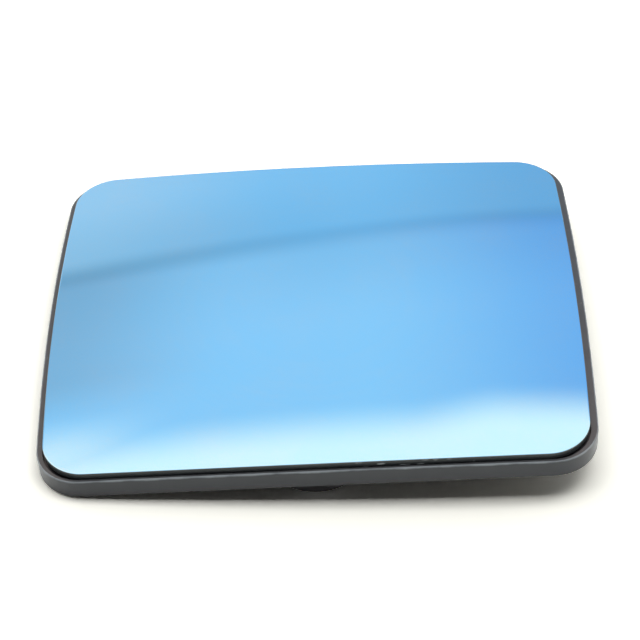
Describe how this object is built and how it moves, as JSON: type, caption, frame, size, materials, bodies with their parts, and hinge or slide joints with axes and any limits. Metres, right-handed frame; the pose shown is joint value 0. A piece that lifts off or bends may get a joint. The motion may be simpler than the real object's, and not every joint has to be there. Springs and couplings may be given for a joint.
{
  "type": "car door mirror glass",
  "caption": "Convex blue-tinted door mirror glass with a heater foil, bonded into a moulded holder with a clip collar on its back.",
  "frame": {"origin": "on the clip collar's axis, in the plane of the collar's mouth", "axes": "+X along the lower edge to the right as seen from in front of the mirror, +Y towards the upper edge, +Z out of the mirror face"},
  "size_m": [0.1534, 0.1274, 0.0167],
  "materials": {
    "mirror": "polished, blue-tinted",
    "heater_foil": "smooth film",
    "foam": "matte",
    "holder": "fine grained moulding",
    "terminal": "rolled strip"
  },
  "bodies": {
    "root": {"mirror_glass": "mirror", "heater_foil": "heater_foil", "bonding_foam": "foam", "backing_plate": "holder", "heater_terminal_lower": "terminal", "heater_terminal_upper": "terminal"}
  },
  "joints": []
}
